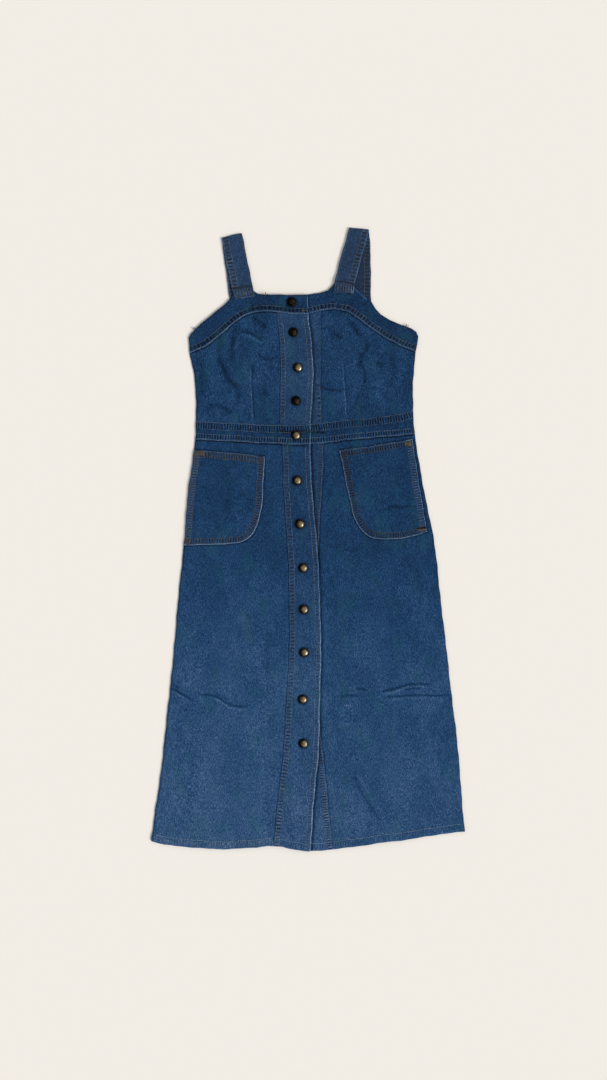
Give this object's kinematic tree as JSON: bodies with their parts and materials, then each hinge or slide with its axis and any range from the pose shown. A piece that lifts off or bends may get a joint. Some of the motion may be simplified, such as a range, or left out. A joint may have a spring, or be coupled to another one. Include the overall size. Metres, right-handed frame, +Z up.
{
  "type": "pinafore dress",
  "caption": "Sleeveless denim pinafore dress laid flat, with a square neck, folded shoulder straps, a studded front placket, a waistband and two patch pockets.",
  "frame": {"origin": "on the table under the middle of the garment's outline, straps included", "axes": "+X across the front to the right, +Y from the hem to the straps, +Z up off the table, front side up"},
  "size_m": [0.5763, 1.1464, 0.0098],
  "materials": {
    "skirt_denim": "washed mid-blue cotton twill, matt",
    "bodice_denim": "darker blue cotton twill, matt",
    "band_denim": "double-ply blue twill, topstitched",
    "pocket_denim": "dark blue twill, topstitched in tan",
    "topstitch_thread": "twisted tan polyester thread",
    "antique_brass": "antiqued, darkened brass with a worn bright crown"
  },
  "bodies": {
    "root": {"bodice_back": "bodice_denim", "bodice_left": "bodice_denim", "bodice_right": "bodice_denim", "placket_over_bodice": "band_denim", "placket_over_skirt": "band_denim", "placket_under_bodice": "band_denim", "placket_under_skirt": "band_denim", "pocket_left": "pocket_denim", "pocket_right": "pocket_denim", "skirt_back": "skirt_denim", "skirt_left": "skirt_denim", "skirt_right": "skirt_denim", "strap_left": "band_denim", "strap_right": "band_denim", "stud_01": "antique_brass", "stud_02": "antique_brass", "stud_03": "antique_brass", "stud_04": "antique_brass", "stud_05": "antique_brass", "stud_06": "antique_brass", "stud_07": "antique_brass", "stud_08": "antique_brass", "stud_09": "antique_brass", "stud_10": "antique_brass", "stud_11": "antique_brass", "stud_12": "antique_brass", "top_band_back": "band_denim", "top_band_left": "band_denim", "top_band_right": "band_denim", "waistband_back": "band_denim", "waistband_left": "band_denim", "waistband_right": "band_denim"}
  },
  "joints": []
}
